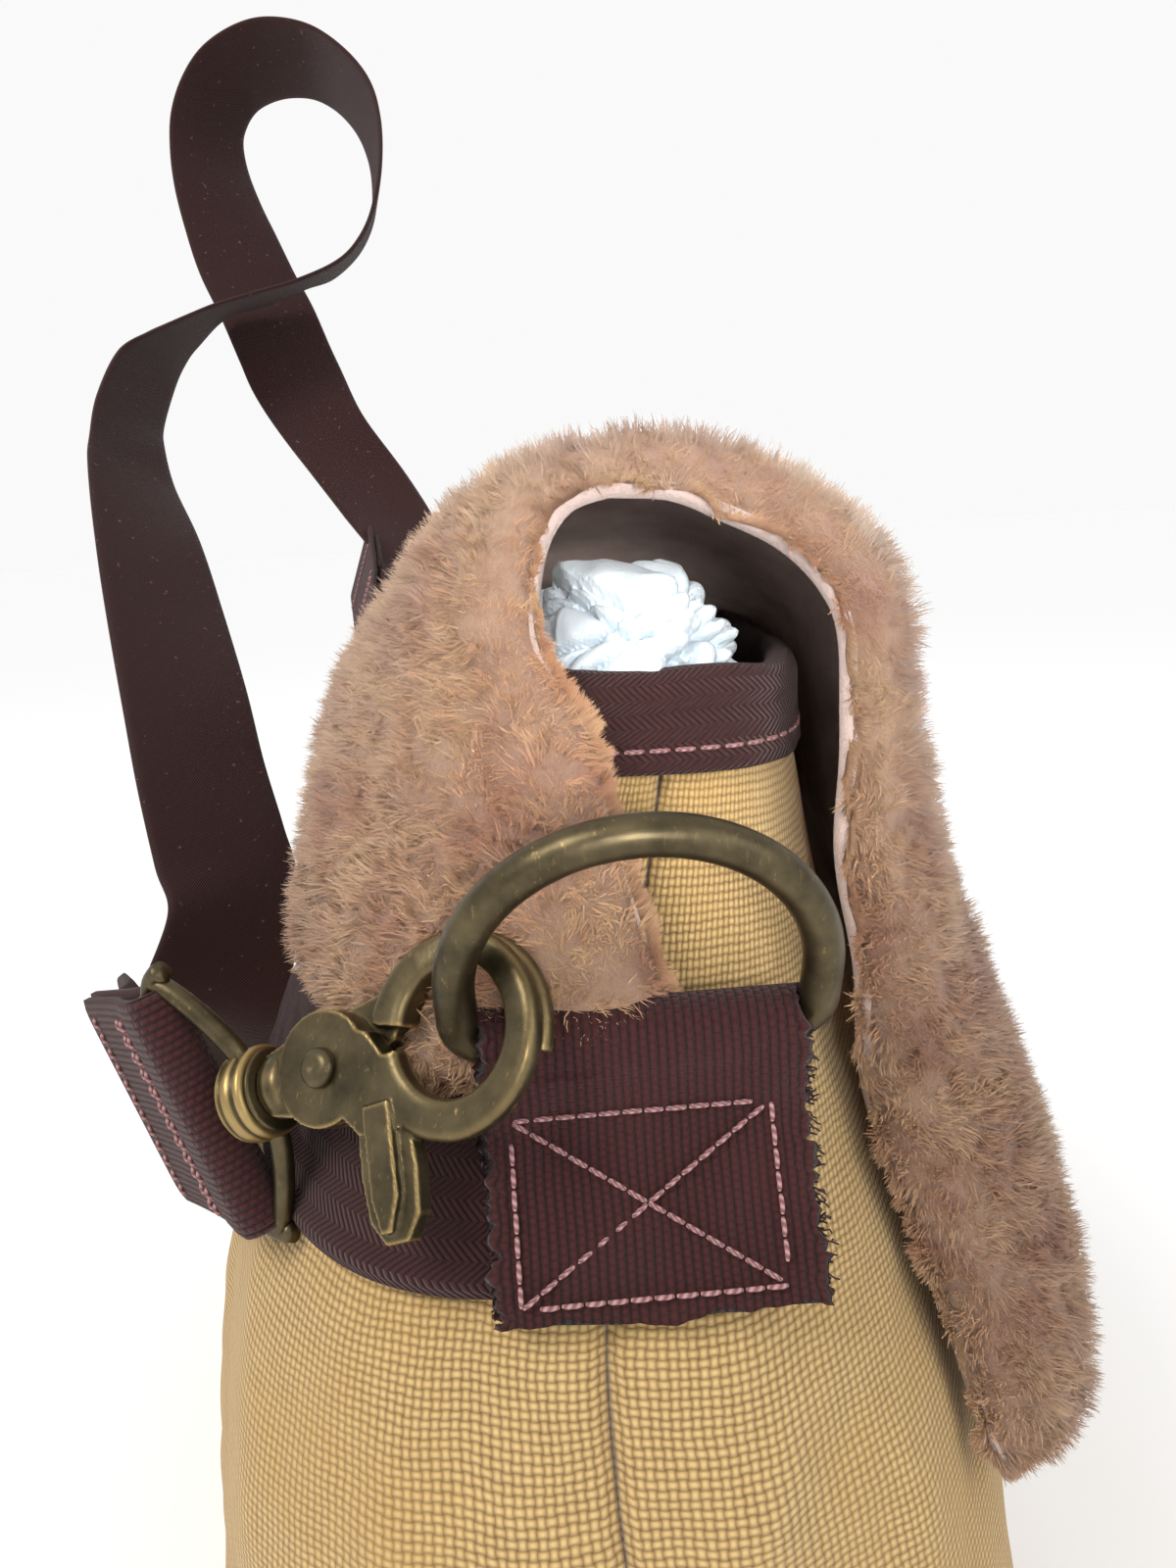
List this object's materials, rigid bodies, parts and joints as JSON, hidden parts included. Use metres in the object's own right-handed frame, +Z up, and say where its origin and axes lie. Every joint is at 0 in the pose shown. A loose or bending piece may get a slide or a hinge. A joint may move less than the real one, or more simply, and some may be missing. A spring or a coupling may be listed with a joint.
{
  "type": "canvas shoulder bag with shearling flap",
  "caption": "Stuffed canvas shoulder bag with a shearling flap over the mouth, webbing trim, D-rings at the ends and a webbing strap that clips on with swivel trigger hooks",
  "frame": {"origin": "On the floor under the bag, midway along its length, on the plane of its side seams", "axes": "+Z up, X along the bag's length with the far end at +X, front of the bag and the free side of its flap towards -Y"},
  "size_m": [0.598, 0.2911, 0.5938],
  "materials": {
    "canvas": "coarse ochre basket-weave cotton canvas",
    "twill_tape": "maroon herringbone twill tape",
    "webbing": "maroon ribbed cotton webbing",
    "strap_webbing": "brown-maroon fine twill webbing",
    "shearling": "short rose-tan sheared wool pile on suede",
    "tissue_paper": "crumpled white tissue",
    "old_brass": "antique brass, dark patina worn through at the edges",
    "rivet_steel": "dull plated steel"
  },
  "bodies": {
    "bag": {"front_panel": "canvas", "back_panel": "canvas", "bottom_panel": "canvas", "rim_binding": "twill_tape", "back_band": "twill_tape", "flap_back": "shearling", "tissue_wad": "tissue_paper", "near_chape": "webbing", "far_chape": "webbing"},
    "flap": {"flap_front": "shearling"},
    "near_ring": {"near_d_ring": "old_brass"},
    "far_ring": {"far_d_ring": "old_brass"},
    "strap": {"shoulder_strap": "strap_webbing", "near_strap_loop": "strap_webbing", "far_strap_loop": "strap_webbing", "near_bail": "old_brass", "far_bail": "old_brass"},
    "near_hook": {"near_hook_body": "old_brass", "near_rivet": "rivet_steel", "near_trigger_spring": "rivet_steel", "near_swivel_washer": "old_brass"},
    "far_hook": {"far_hook_body": "old_brass", "far_rivet": "rivet_steel", "far_trigger_spring": "rivet_steel", "far_swivel_washer": "old_brass"},
    "near_jaw": {"near_trigger_jaw": "old_brass"},
    "far_jaw": {"far_trigger_jaw": "old_brass"}
  },
  "joints": [
    {"name": "flap_lift", "type": "hinge", "parent": "bag", "child": "flap", "pos_m": [0, 0.013, 0.3456], "axis": [-1, 0, 0], "range_deg": [0, 110]},
    {"name": "strap_swing", "type": "hinge", "parent": "bag", "child": "strap", "pos_m": [-0.1977, 0.0362, 0.252], "axis": [0.9994, 0.0035, 0.0334], "range_deg": [0, 5]},
    {"name": "near_ring_tilt", "type": "hinge", "parent": "bag", "child": "near_ring", "pos_m": [-0.1946, 0.008, 0.248], "axis": [0, 1, 0], "range_deg": [-5, 2]},
    {"name": "far_ring_tilt", "type": "hinge", "parent": "bag", "child": "far_ring", "pos_m": [0.1946, 0.008, 0.248], "axis": [0, 1, 0], "range_deg": [-5, 5]},
    {"name": "near_swivel", "type": "hinge", "parent": "strap", "child": "near_hook", "pos_m": [-0.18758, 0.05709, 0.24273], "axis": [-0.4049, -0.8358, 0.3709], "range_deg": [-8, 3]},
    {"name": "far_swivel", "type": "hinge", "parent": "strap", "child": "far_hook", "pos_m": [0.20068, 0.06038, 0.27555], "axis": [-0.035, -0.9113, -0.4102], "range_deg": [-8, 8]},
    {"name": "near_trigger", "type": "hinge", "parent": "near_hook", "child": "near_jaw", "pos_m": [-0.18758, 0.05709, 0.24273], "axis": [0.7208, -0.5413, -0.4329], "range_deg": [0, 18], "stiffness_Nm_per_rad": 0.05},
    {"name": "far_trigger", "type": "hinge", "parent": "far_hook", "child": "far_jaw", "pos_m": [0.20068, 0.06038, 0.27555], "axis": [-0.2053, -0.3951, 0.8954], "range_deg": [0, 18], "stiffness_Nm_per_rad": 0.05}
  ]
}
